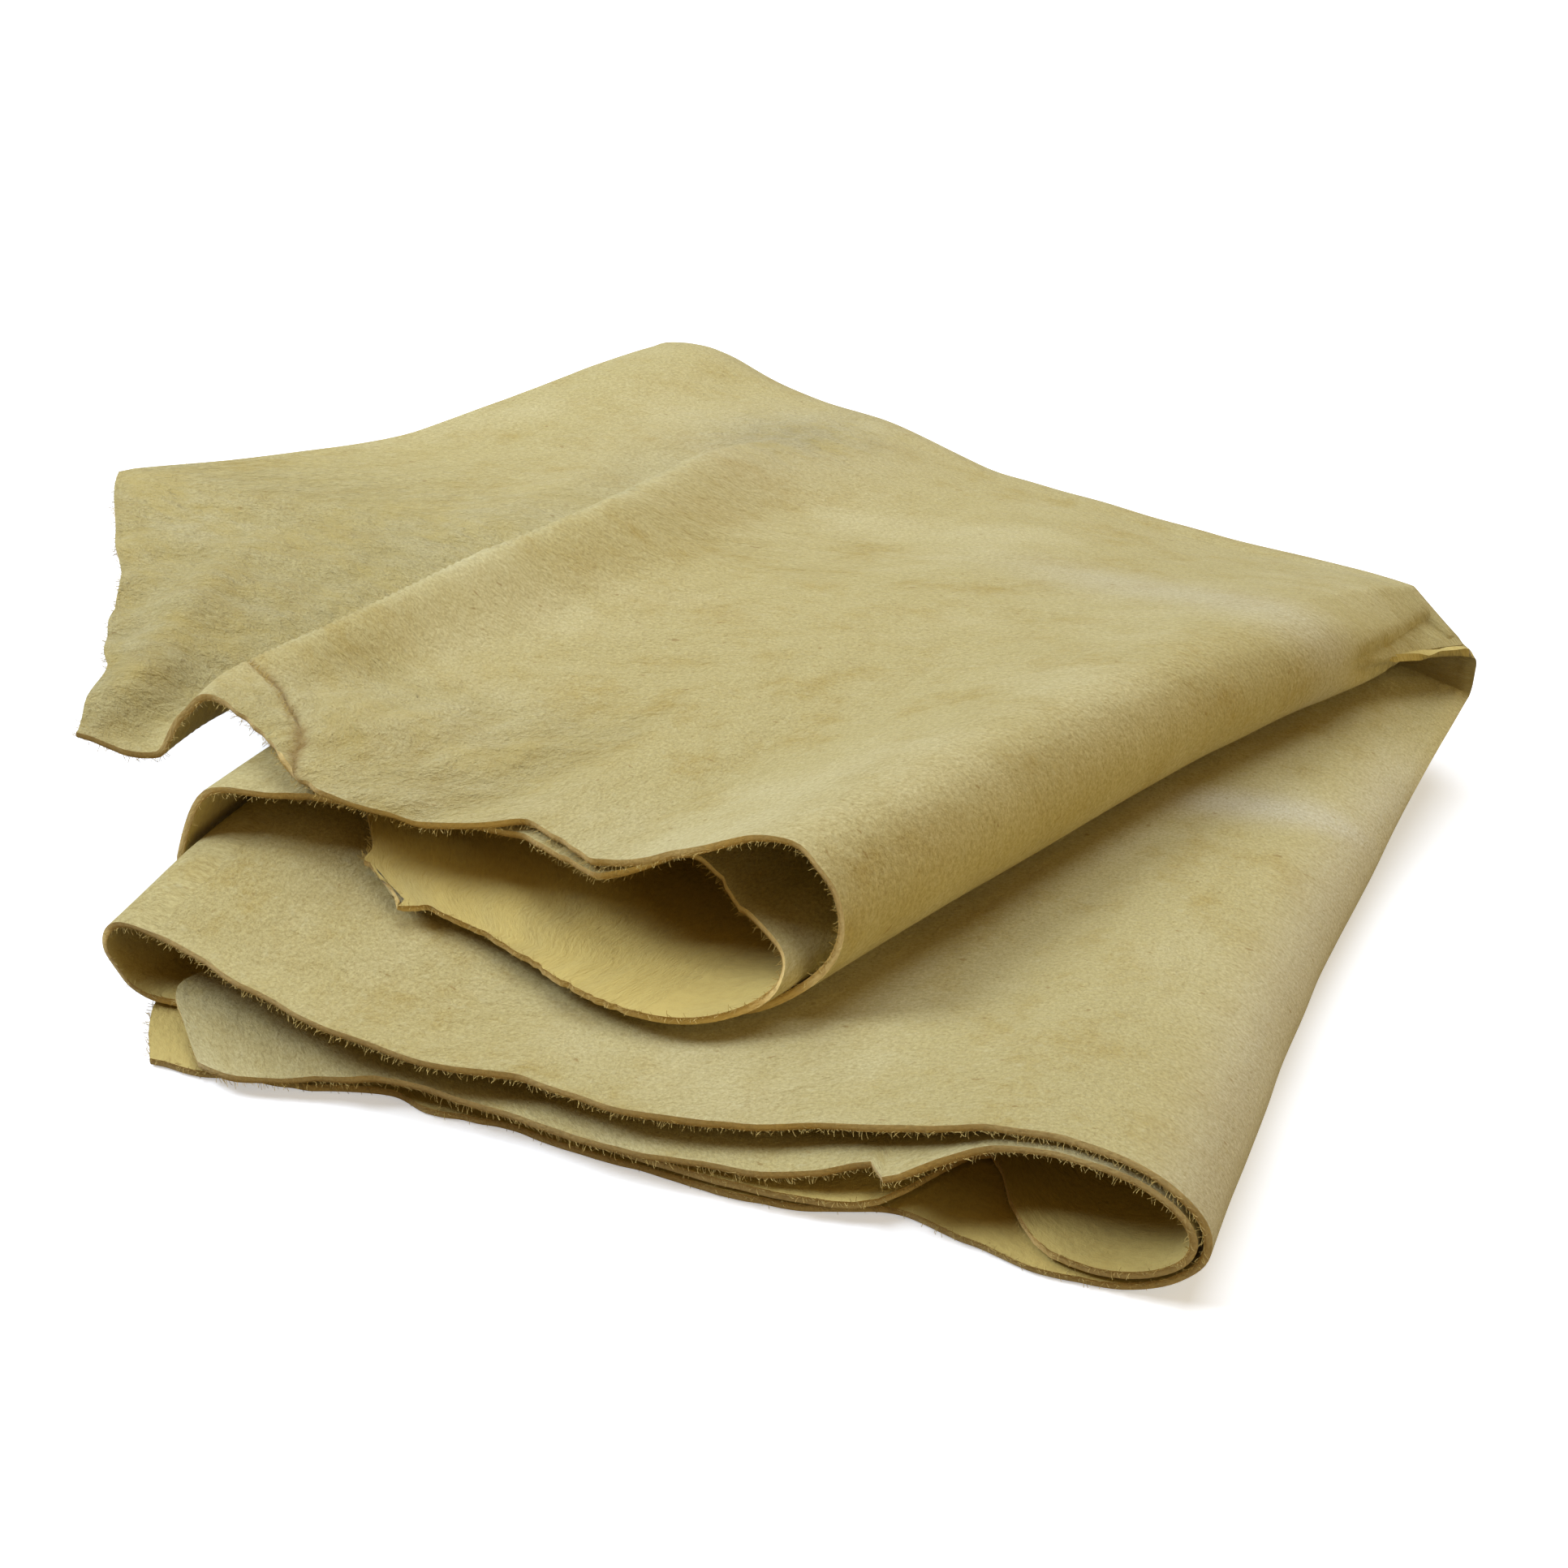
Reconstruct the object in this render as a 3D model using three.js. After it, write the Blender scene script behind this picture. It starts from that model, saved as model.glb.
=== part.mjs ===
// Folded chamois leather: one hide, rolled into four layers and doubled over at the back.
// The hide is divided at its fold lines, so that each panel, roll and loop is a piece of its own.
import * as THREE from "three";

// Leather, in millimetres
const THICKNESS = 1.2;
const LAYER_PITCH = 1.9;
const SEAM_GAP = 0.3;

// Plan of the folded pack: the crease runs from the right tip to the back left
const TIP = [118, 5.9];
const CREASE_ANGLE = 144;
const CREASE_WIDTH = 140;
const LOWER_LEG = { rollBow: [84.5, -56.6], rollFront: [54.5, -125.6], loopFront: [-101.2, -59.6] };
const UPPER_LEG = { rollBow: [90.5, 4.4], rollFront: [10, -74.6], loopFront: [-91.5, -45.6] };

// Reach of each turn across the pack, and how far the back bend stands out per height
const LOWER_ROLL_REACH = 13;
const LOWER_LOOP_REACH = 9;
const UPPER_ROLL_REACH = 13;
const UPPER_LOOP_REACH = 11;
const LOOP_LEAN = 0.65;
const BEND_REACH_RATIO = 1;

// Heights above the floor at the crease, half way and at the front edge
const LOWER_TOP_AT_ROLL = [14.5, 15, 18.5];
const LOWER_TOP_AT_MIDDLE = [14.5, 10.5, 9];
const LOWER_TOP_AT_LOOP = [16, 15.5, 14];
const UPPER_TOP_AT_ROLL = [30, 35, 35];
const UPPER_TOP_AT_MIDDLE = [31, 32, 27];
const UPPER_TOP_AT_LOOP = [36, 37.5, 33];
const FLAP_DROP = [-1.5, 4, 5];
const INNER_ROLL_SETBACK = [2.5, 3, 2.2];

// Shares of a leg's width over which the height of its roll and of its loop dies away
const ROLL_SHOULDER = 0.34;
const LOOP_SHOULDER = 0.45;

// The pinched right tip
const TIP_LIFT = 7;
const TIP_DROP = 3;
const TIP_ALONG = 0.42;
const TIP_ACROSS = 60;
const CREASE_HOLLOW = 3.5;

// Cut edges beyond the straight front line, by share of the width from roll to loop
const LOWER_FRONT = {
  bottom: [[0, 0], [0.3, 2], [0.6, 5], [0.85, 9], [1, 7]],
  top: [[0, 0], [0.15, -4], [0.4, 1], [0.7, 7], [1, 0]],
  third: [[0, 1], [0.12, 1], [0.2, -14], [0.3, -2], [0.45, 4], [0.8, 0], [1, 1]],
  second: [[0, 0], [0.15, -5], [0.3, -2], [0.45, 4], [0.75, 8], [0.86, 13], [1, 5]],
};
const UPPER_FRONT = {
  top: [[0, 0], [0.1, -2], [0.85, -1], [1.05, -11], [1.5, -12]],
  bottom: [[0, 3], [0.1, 5], [0.35, -5], [1, 2]],
  second: [[0, 6], [0.2, 2], [0.5, -2], [1, -1]],
  inner: [[0, 8], [0.2, 11], [0.35, 8], [0.5, 4], [0.7, 1]],
};

// Free ends of the hide across the pack, by share of the leg from crease to front
const OUTER_END_BELOW = [[0, 178], [0.5, 166], [1, 157]];
const OUTER_END_ABOVE = [
  [0, 178],
  [0.21, 182],
  [0.3, 192],
  [0.415, 220],
  [0.425, 220],
  [0.58, 193],
  [0.77, 160],
  [0.95, 135],
];
const INNER_END_BELOW = [[0, 118], [0.5, 138], [0.95, 155], [1, 153], [1.09, 143]];
const INNER_END_ABOVE = [[0, 118], [0.5, 108], [0.85, 80], [1, 71]];

// Facets along and across each piece
const PANEL_STEPS = 10;
const TURN_STEPS = 8;
const LEG_STEPS = 10;
const BEND_STEPS = 6;

const radians = THREE.MathUtils.degToRad;
const creaseWay = [Math.cos(radians(CREASE_ANGLE)), Math.sin(radians(CREASE_ANGLE))];
const backWay = [creaseWay[1], -creaseWay[0]];
const creaseEnd = [TIP[0] + CREASE_WIDTH * creaseWay[0], TIP[1] + CREASE_WIDTH * creaseWay[1]];

const mix = (a, b, share) => a + (b - a) * share;

function smooth(value) {
  const share = Math.min(1, Math.max(0, value));
  return share * share * (3 - 2 * share);
}

// A value given at the crease, half way and at the front, as one even curve.
function alongLeg([crease, middle, front], b) {
  return crease * (1 - b) * (1 - 2 * b) + 4 * middle * b * (1 - b) + front * b * (2 * b - 1);
}

// A smooth curve through points that are sorted by their first number.
function through(points, x) {
  const last = points.length - 1;
  const at = Math.min(Math.max(x, points[0][0]), points[last][0]);
  let i = 0;
  while (i < last - 1 && at > points[i + 1][0]) i += 1;
  const slope = (k) => {
    const before = points[Math.max(k - 1, 0)];
    const after = points[Math.min(k + 1, last)];
    return (after[1] - before[1]) / (after[0] - before[0]);
  };
  const step = points[i + 1][0] - points[i][0];
  const s = (at - points[i][0]) / step;
  const start = points[i][1] * (1 + 2 * s) * (1 - s) ** 2 + slope(i) * step * s * (1 - s) ** 2;
  const end = points[i + 1][1] * s * s * (3 - 2 * s) + slope(i + 1) * step * s * s * (s - 1);
  return start + end;
}

// The line of the right-hand roll and the line of the left-hand loop, b from crease to front.
function rollLine(leg, b) {
  return [0, 1].map(
    (k) => (1 - b) ** 2 * TIP[k] + 2 * b * (1 - b) * leg.rollBow[k] + b * b * leg.rollFront[k],
  );
}

function loopLine(leg, b) {
  return [0, 1].map((k) => mix(creaseEnd[k], leg.loopFront[k], b));
}

function widthAt(leg, b) {
  const roll = rollLine(leg, b);
  const loop = loopLine(leg, b);
  return Math.hypot(loop[0] - roll[0], loop[1] - roll[1]);
}

// Plan position at w millimetres from the roll line towards the loop line.
function plan(leg, w, b) {
  const roll = rollLine(leg, b);
  const loop = loopLine(leg, b);
  const share = w / widthAt(leg, b);
  return [mix(roll[0], loop[0], share), mix(roll[1], loop[1], share)];
}

// The w and b of a plan position, found by stepping towards it.
function locate(leg, x, y) {
  let w = 60;
  let b = 0.5;
  for (let turn = 0; turn < 12; turn += 1) {
    const here = plan(leg, w, b);
    const across = plan(leg, w + 0.1, b).map((value, k) => (value - here[k]) / 0.1);
    const along = plan(leg, w, b + 0.001).map((value, k) => (value - here[k]) / 0.001);
    const miss = [x - here[0], y - here[1]];
    const area = across[0] * along[1] - across[1] * along[0];
    w += (miss[0] * along[1] - miss[1] * along[0]) / area;
    b += (across[0] * miss[1] - across[1] * miss[0]) / area;
  }
  return [w, b];
}

// How much of the pinch at the right tip is felt here.
const tipShare = (w, b) => smooth(1 - w / TIP_ACROSS) * smooth(1 - b / TIP_ALONG);

// Height between the roll, the middle and the loop of a leg.
function heightAcross(atRoll, atMiddle, atLoop, share) {
  const rollPart = smooth(1 - share / ROLL_SHOULDER);
  const loopPart = smooth(1 - (1 - share) / LOOP_SHOULDER);
  return atMiddle + (atRoll - atMiddle) * rollPart + (atLoop - atMiddle) * loopPart;
}

const lowerHeight = {
  bottom: (w, b) => THICKNESS / 2 + TIP_LIFT * tipShare(w, b),
  third: (w, b) => lowerHeight.bottom(w, b) + LAYER_PITCH,
  second(w, b) {
    const sag = smooth(b / 0.4) * smooth((w - 18) / 75);
    return mix(lowerHeight.top(w, b) - LAYER_PITCH, lowerHeight.third(w, b) + LAYER_PITCH, sag);
  },
  top(w, b) {
    const span = widthAt(LOWER_LEG, b) - LOWER_ROLL_REACH - LOWER_LOOP_REACH;
    return heightAcross(
      alongLeg(LOWER_TOP_AT_ROLL, b),
      alongLeg(LOWER_TOP_AT_MIDDLE, b),
      alongLeg(LOWER_TOP_AT_LOOP, b),
      (w - LOWER_ROLL_REACH) / span,
    );
  },
};

const upperHeight = {
  bottom(w, b) {
    const [x, y] = plan(UPPER_LEG, w, b);
    const [under, share] = locate(LOWER_LEG, x, y);
    const hollow = CREASE_HOLLOW * (1 - smooth(b / 0.15));
    return lowerHeight.top(under, Math.max(share, 0)) + LAYER_PITCH + hollow;
  },
  inner: (w, b) => upperHeight.bottom(w, b) + LAYER_PITCH,
  second: (w, b) => upperHeight.top(w, b) - LAYER_PITCH,
  top(w, b) {
    const width = widthAt(UPPER_LEG, b);
    const span = width - UPPER_ROLL_REACH - UPPER_LOOP_REACH;
    const even = heightAcross(
      alongLeg(UPPER_TOP_AT_ROLL, b),
      alongLeg(UPPER_TOP_AT_MIDDLE, b),
      alongLeg(UPPER_TOP_AT_LOOP, b),
      (w - UPPER_ROLL_REACH) / span,
    );
    const drop = alongLeg(FLAP_DROP, b) * smooth((w - width + 4) / 30);
    return even - drop - TIP_DROP * tipShare(w, b);
  },
};

// The two legs: which layer of each leg a run of the hide makes, and where it ends.
const legs = {
  lower: {
    plan: LOWER_LEG,
    heights: lowerHeight,
    front: LOWER_FRONT,
    layers: { outer: "bottom", facing: "top", third: "third", inner: "second" },
    outerEnd: OUTER_END_BELOW,
    innerEnd: INNER_END_BELOW,
    rollReach: LOWER_ROLL_REACH,
    loopReach: LOWER_LOOP_REACH,
    setback: () => LAYER_PITCH,
  },
  upper: {
    plan: UPPER_LEG,
    heights: upperHeight,
    front: UPPER_FRONT,
    layers: { outer: "top", facing: "bottom", third: "second", inner: "inner" },
    outerEnd: OUTER_END_ABOVE,
    innerEnd: INNER_END_ABOVE,
    rollReach: UPPER_ROLL_REACH,
    loopReach: UPPER_LOOP_REACH,
    setback: (b) => alongLeg(INNER_ROLL_SETBACK, b),
  },
};

// A run of the hide between two turns: its height and its distance from the roll line.
function runPoint(leg, layer, w, b) {
  return [w, leg.heights[leg.layers[layer]](w, b)];
}

// A turn from one layer to another, round an apex; a lean under 1 moves the apex towards its start.
function turnPoint(leg, from, to, shoulder, apex, t, b, lean = 1) {
  const start = runPoint(leg, from, shoulder, b)[1];
  const end = runPoint(leg, to, shoulder, b)[1];
  const w = shoulder + (apex - shoulder) * Math.sin(Math.PI * t ** lean);
  return [w, mix(start, end, (1 - Math.cos(Math.PI * t)) / 2)];
}

// The stretches of the hide in order from its outer end to its inner end, t from 0 to 1 in each.
const stretches = {
  flap(leg, t, b) {
    const width = widthAt(leg.plan, b);
    return runPoint(leg, "outer", mix(through(leg.outerEnd, b), width, t), b);
  },
  outer(leg, t, b) {
    return runPoint(leg, "outer", mix(through(leg.outerEnd, b), leg.rollReach, t), b);
  },
  outerPanel(leg, t, b) {
    return runPoint(leg, "outer", mix(widthAt(leg.plan, b), leg.rollReach, t), b);
  },
  outerRoll: (leg, t, b) => turnPoint(leg, "outer", "facing", leg.rollReach, 0, t, b),
  facing(leg, t, b) {
    return runPoint(leg, "facing", mix(leg.rollReach, widthAt(leg.plan, b) - leg.loopReach, t), b);
  },
  leftLoop(leg, t, b) {
    const width = widthAt(leg.plan, b);
    return turnPoint(leg, "facing", "third", width - leg.loopReach, width, t, b, LOOP_LEAN);
  },
  third(leg, t, b) {
    const shoulder = leg.rollReach + leg.setback(b);
    return runPoint(leg, "third", mix(widthAt(leg.plan, b) - leg.loopReach, shoulder, t), b);
  },
  innerRoll(leg, t, b) {
    const shoulder = leg.rollReach + leg.setback(b);
    return turnPoint(leg, "third", "inner", shoulder, leg.setback(b), t, b);
  },
  inner(leg, t, b) {
    const shoulder = leg.rollReach + leg.setback(b);
    return runPoint(leg, "inner", mix(shoulder, through(leg.innerEnd, b), t), b);
  },
};

// The two layers that a stretch lies on at its start and end, for its cut front edge.
const stretchLayers = {
  flap: ["outer", "outer"],
  outer: ["outer", "outer"],
  outerPanel: ["outer", "outer"],
  outerRoll: ["outer", "facing"],
  facing: ["facing", "facing"],
  leftLoop: ["facing", "third"],
  third: ["third", "third"],
  innerRoll: ["third", "inner"],
  inner: ["inner", "inner"],
};

// How far along the leg the cut edge lies, as a share of the leg.
function frontShare(leg, stretch, t) {
  const [w] = stretches[stretch](leg, t, 1);
  const share = w / widthAt(leg.plan, 1);
  const [from, to] = stretchLayers[stretch].map((layer) =>
    through(leg.front[leg.layers[layer]], share),
  );
  const roll = leg.plan.rollFront;
  const length = Math.hypot(TIP[0] - roll[0], TIP[1] - roll[1]);
  return 1 + mix(from, to, t) / length;
}

// A point of the hide's middle surface on a leg, v from crease to cut edge.
function legPoint(leg, stretch, t, v) {
  const b = v * frontShare(leg, stretch, t);
  const [w, z] = stretches[stretch](leg, t, b);
  const [x, y] = plan(leg.plan, w, b);
  return new THREE.Vector3(x, y, z);
}

// A point of the back bend, v from the lower leg round to the upper leg.
function bendPoint(stretch, t, v) {
  const below = legPoint(legs.lower, stretch, t, 0);
  const above = legPoint(legs.upper, stretch, t, 0);
  const angle = Math.PI * v;
  const reach = (BEND_REACH_RATIO * (above.z - below.z) * Math.sin(angle)) / 2;
  const point = below.clone().lerp(above, (1 - Math.cos(angle)) / 2);
  point.x += backWay[0] * reach;
  point.y += backWay[1] * reach;
  return point;
}

// A closed piece of leather on a middle surface, with half of the seam gap left at each side.
function leatherPiece(surface, tSteps, vSteps, trims) {
  const length = (a, b) => surface(...a).distanceTo(surface(...b));
  const tTrim = SEAM_GAP / 2 / length([0.45, 0.5], [0.55, 0.5]) / 10;
  const vTrim = SEAM_GAP / 2 / length([0.5, 0.45], [0.5, 0.55]) / 10;
  const tAt = (i) => mix(tTrim, 1 - tTrim, i / tSteps);
  const vAt = (j) => mix(trims[0] * vTrim, 1 - trims[1] * vTrim, j / vSteps);
  const positions = [];
  for (const side of [1, -1]) {
    for (let j = 0; j <= vSteps; j += 1) {
      for (let i = 0; i <= tSteps; i += 1) {
        const t = tAt(i);
        const v = vAt(j);
        const alongT = surface(Math.min(t + 1e-3, 1), v).sub(surface(Math.max(t - 1e-3, 0), v));
        const alongV = surface(t, Math.min(v + 1e-3, 1)).sub(surface(t, Math.max(v - 1e-3, 0)));
        const normal = alongT.cross(alongV).normalize();
        const point = surface(t, v).addScaledVector(normal, (side * THICKNESS) / 2);
        positions.push(point.x, point.y, point.z);
      }
    }
  }
  const row = tSteps + 1;
  const sheet = row * (vSteps + 1);
  const faces = [];
  const quad = (a, b, c, d) => faces.push(a, b, c, a, c, d);
  for (let j = 0; j < vSteps; j += 1) {
    for (let i = 0; i < tSteps; i += 1) {
      const k = j * row + i;
      quad(k, k + 1, k + row + 1, k + row);
      quad(sheet + k, sheet + k + row, sheet + k + row + 1, sheet + k + 1);
    }
  }
  for (let i = 0; i < tSteps; i += 1) {
    const far = vSteps * row + i;
    quad(i + 1, i, sheet + i, sheet + i + 1);
    quad(far, far + 1, sheet + far + 1, sheet + far);
  }
  for (let j = 0; j < vSteps; j += 1) {
    const near = j * row;
    const far = near + tSteps;
    quad(near, near + row, sheet + near + row, sheet + near);
    quad(far + row, far, sheet + far, sheet + far + row);
  }
  const geometry = new THREE.BufferGeometry();
  geometry.setAttribute("position", new THREE.Float32BufferAttribute(positions, 3));
  geometry.setIndex(faces);
  geometry.computeVertexNormals();
  return geometry;
}

const hide = new THREE.Group();
hide.name = "chamois_leather";

// Each piece has its own pale buff suede.
function addPiece(name, surface, tSteps, vSteps, trims) {
  const leather = new THREE.MeshStandardMaterial({ color: 0xd9c68f, roughness: 0.95, metalness: 0 });
  const mesh = new THREE.Mesh(leatherPiece(surface, tSteps, vSteps, trims), leather);
  mesh.name = name;
  hide.add(mesh);
}

const lowerNames = {
  outer: "lower_bottom_panel",
  outerRoll: "lower_outer_roll",
  facing: "lower_top_panel",
  leftLoop: "lower_left_loop",
  third: "lower_third_panel",
  innerRoll: "lower_inner_roll",
  inner: "lower_second_panel",
};
const upperNames = {
  flap: "upper_free_flap",
  outerPanel: "upper_top_panel",
  outerRoll: "upper_outer_roll",
  facing: "upper_bottom_panel",
  leftLoop: "upper_left_loop",
  third: "upper_second_panel",
  innerRoll: "upper_inner_roll",
  inner: "upper_inner_flap",
};
const backNames = {
  outer: "back_fold_outer",
  outerRoll: "back_fold_outer_roll",
  facing: "back_fold_facing",
  leftLoop: "back_fold_left_loop",
  third: "back_fold_third",
  innerRoll: "back_fold_inner_roll",
  inner: "back_fold_inner",
};

const stepsAcross = (stretch) => (/Roll|Loop/.test(stretch) ? TURN_STEPS : PANEL_STEPS);
for (const [stretch, name] of Object.entries(lowerNames)) {
  const surface = (t, v) => legPoint(legs.lower, stretch, t, v);
  addPiece(name, surface, stepsAcross(stretch), LEG_STEPS, [1, 0]);
}
for (const [stretch, name] of Object.entries(upperNames)) {
  const surface = (t, v) => legPoint(legs.upper, stretch, t, v);
  addPiece(name, surface, stepsAcross(stretch), LEG_STEPS, [5, 0]);
}
for (const [stretch, name] of Object.entries(backNames)) {
  const surface = (t, v) => bendPoint(stretch, t, v);
  addPiece(name, surface, stepsAcross(stretch), BEND_STEPS, [1, 1]);
}

export default hide;
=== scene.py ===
"""A folded chamois leather: one hide, rolled into four layers and doubled over at its back crease."""
import functools
import math

import bpy
import numpy as np
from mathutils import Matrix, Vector


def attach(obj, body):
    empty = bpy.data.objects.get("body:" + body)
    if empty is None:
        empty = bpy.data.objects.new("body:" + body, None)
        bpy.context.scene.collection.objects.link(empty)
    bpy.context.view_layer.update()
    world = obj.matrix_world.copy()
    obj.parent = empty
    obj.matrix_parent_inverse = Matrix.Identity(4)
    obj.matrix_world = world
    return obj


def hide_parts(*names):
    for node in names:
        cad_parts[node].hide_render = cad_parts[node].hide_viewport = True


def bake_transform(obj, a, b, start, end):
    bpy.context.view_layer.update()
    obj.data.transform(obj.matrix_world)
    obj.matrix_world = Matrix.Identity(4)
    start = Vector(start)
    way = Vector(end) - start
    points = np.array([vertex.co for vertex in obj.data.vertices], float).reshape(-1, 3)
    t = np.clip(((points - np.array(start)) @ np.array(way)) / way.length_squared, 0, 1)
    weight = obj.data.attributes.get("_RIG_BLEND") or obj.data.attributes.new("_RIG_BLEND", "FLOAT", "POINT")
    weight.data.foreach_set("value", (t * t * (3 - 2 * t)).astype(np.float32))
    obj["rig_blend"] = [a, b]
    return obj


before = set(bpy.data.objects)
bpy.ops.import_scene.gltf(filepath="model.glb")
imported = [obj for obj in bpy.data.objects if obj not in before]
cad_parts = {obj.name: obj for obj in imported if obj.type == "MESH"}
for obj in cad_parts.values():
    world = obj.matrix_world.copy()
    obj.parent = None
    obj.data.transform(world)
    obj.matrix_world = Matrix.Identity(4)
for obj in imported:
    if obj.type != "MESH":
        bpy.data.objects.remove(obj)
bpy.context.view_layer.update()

bl_info = {
    "name": "Folded Chamois Leather",
    "version": (1, 0, 0),
    "blender": (4, 5, 0),
    "location": "View3D > Sidebar > Chamois",
    "description": "Builds a rolled and doubled chamois leather on its packed frame",
    "category": "Object",
}

# Plan of the folded pack in millimetres: the crease runs from the right tip to the back left
TIP = np.array([118.0, 5.9])
CREASE_ANGLE = math.radians(144)
CREASE_WIDTH = 140
CREASE_WAY = np.array([math.cos(CREASE_ANGLE), math.sin(CREASE_ANGLE)])
BACK_WAY = np.array([CREASE_WAY[1], -CREASE_WAY[0]])
CREASE_END = TIP + CREASE_WIDTH * CREASE_WAY
HALF_THICKNESS = 0.6
LAYER_PITCH = 1.9
LOOP_LEAN = 0.65
ROLL_SHOULDER = 0.34
LOOP_SHOULDER = 0.45
CREASE_SHOULDER = 0.28
SHOULDER_CHANGE = 0.35

# The pinched right tip: heights in millimetres, reaches in millimetres across and as shares along
TIP_LIFT = 7
TIP_DROP = 0.5
TIP_BEND = 0.35
TIP_ALONG = 0.42
TIP_ACROSS = 60
TIP_BEND_REACH = 45
CREASE_HOLLOW = 3.5
PINCH_ALONG = 0.36
PINCH_LEVEL = 0.86

# Pleats at the tip: where each one starts and ends in the plan, and how far the leather steps in past it
TIP_PLEATS = (((111.5, 11.5), (97, -1), 1.7), ((116.5, 8.8), (107, 2), 1))

# Heights in metres between the two innermost layers, where the hide passes from lower_half to upper_half
TURN_START = 0.0172
TURN_END = 0.0189

# Grid columns of each stretch of the hide, from its outer end to its inner end, and its length
STRETCHES = {
    "outer": (195, 160),
    "outer_roll": (30, 32),
    "facing": (92, 146),
    "left_loop": (26, 26),
    "third": (54, 146),
    "inner_roll": (26, 28),
    "inner": (64, 140),
}

# The turns of the hide, each with the two stretches that it joins
TURNS = {
    "outer_roll": ("outer", "facing"),
    "left_loop": ("facing", "third"),
    "inner_roll": ("third", "inner"),
}

# Grid rows and flat lengths in millimetres of a leg and of the back bend; a leg's rows crowd to its front
LEG_ROWS = 98
ROW_CROWDING = 1.25
BEND_ROWS = 26
LEG_LENGTH = 140
BEND_LENGTH = 46
MM_PER_M = 1000

# Cells along each side of the noise's table
LATTICE = 64

# Share by which the thickness wanders, bulge of a cut edge in millimetres, and the angle of a sharp edge
THICKNESS_WANDER = 0.12
EDGE_BULGE = 0.1
SHARP_ANGLE = math.radians(60)

# Loose fibres: radius as a share of length, height of the roots in millimetres, and how much they point up
FIBRE_RADIUS = 0.036
FIBRE_ROOT = 0.4
FIBRE_RISE = 0.35

# Floor, room and area lamps: each lamp has its name, place and size in metres, power in watts and tint
FLOOR_REACH = 6
FLOOR_LEVEL = -0.0003
FLOOR_BOUNCE = (0.25, 0.25, 0.25, 1)
FLOOR_WHITE = (0.9, 0.9, 0.9, 1)
ROOM_TINT = (1, 0.62, 0.22, 1)
ROOM_LEVEL = 0.2
WHITE = (1, 1, 1, 1)
LAMP_TARGET = Vector((0, -0.03, 0.02))
LAMPS = (
    ("key", (-0.74, 0.12, 0.7), 0.4, 8.9, (0.89, 1.01, 1.18)),
    ("top", (0.12, 0.28, 1.0), 0.7, 7.35, (0.88, 1.01, 1.22)),
    ("fill", (0.9, -0.42, 0.22), 0.7, 4.9, (1, 0.87, 0.5)),
)

# Where a Mix node has its two colours and its mixed colour
MIX_FIRST, MIX_SECOND, MIX_RESULT = 6, 7, 2


def mix(a, b, share):
    return a + (b - a) * share


def smooth(value):
    share = np.clip(value, 0, 1)
    return share * share * (3 - 2 * share)


def along_leg(values, b):
    """A value given at the crease, half way and at the front, as one even curve."""
    crease, middle, front = values
    return crease * (1 - b) * (1 - 2 * b) + 4 * middle * b * (1 - b) + front * b * (2 * b - 1)


def through(points, x):
    """A smooth curve through points that are sorted by their first number."""
    xs, ys = np.array(points, float).T
    last = len(xs) - 1
    at = np.clip(x, xs[0], xs[last])
    i = np.clip(np.searchsorted(xs, at) - 1, 0, last - 1)
    before = np.maximum(np.arange(last + 1) - 1, 0)
    after = np.minimum(np.arange(last + 1) + 1, last)
    slope = (ys[after] - ys[before]) / (xs[after] - xs[before])
    step = xs[i + 1] - xs[i]
    s = (at - xs[i]) / step
    start = ys[i] * (1 + 2 * s) * (1 - s) ** 2 + slope[i] * step * s * (1 - s) ** 2
    end = ys[i + 1] * s * s * (3 - 2 * s) + slope[i + 1] * step * s * s * (s - 1)
    return start + end


def noise(x, y, seed):
    """Smooth noise from -1 to 1 on a lattice of unit cells."""
    table = np.random.default_rng(seed).uniform(-1, 1, (LATTICE, LATTICE))
    column, row = np.floor(x).astype(int), np.floor(y).astype(int)
    fx, fy = smooth(x - column), smooth(y - row)

    def corner(right, up):
        return table[(column + right) % LATTICE, (row + up) % LATTICE]

    return mix(mix(corner(0, 0), corner(1, 0), fx), mix(corner(0, 1), corner(1, 1), fx), fy)


def ragged(along, seed):
    """How far a torn or cut edge wanders from its even line, in millimetres."""
    return 0.35 * noise(along / 9, 0 * along, seed) + 0.16 * noise(along / 3.4, 0 * along, seed + 1)


def tip_share(w, b):
    """How much of the pinch at the right tip is felt here."""
    return smooth(1 - w / TIP_ACROSS) * smooth(1 - b / TIP_ALONG)


def height_across(at_roll, at_middle, at_loop, share, b):
    """Height of a layer at a share of its way from roll to loop, with soft shoulders at both."""
    roll_part = smooth(1 - share / ROLL_SHOULDER)
    loop_part = smooth(1 - (1 - share) / mix(CREASE_SHOULDER, LOOP_SHOULDER, smooth(b / SHOULDER_CHANGE)))
    return at_middle + (at_roll - at_middle) * roll_part + (at_loop - at_middle) * loop_part


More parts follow.
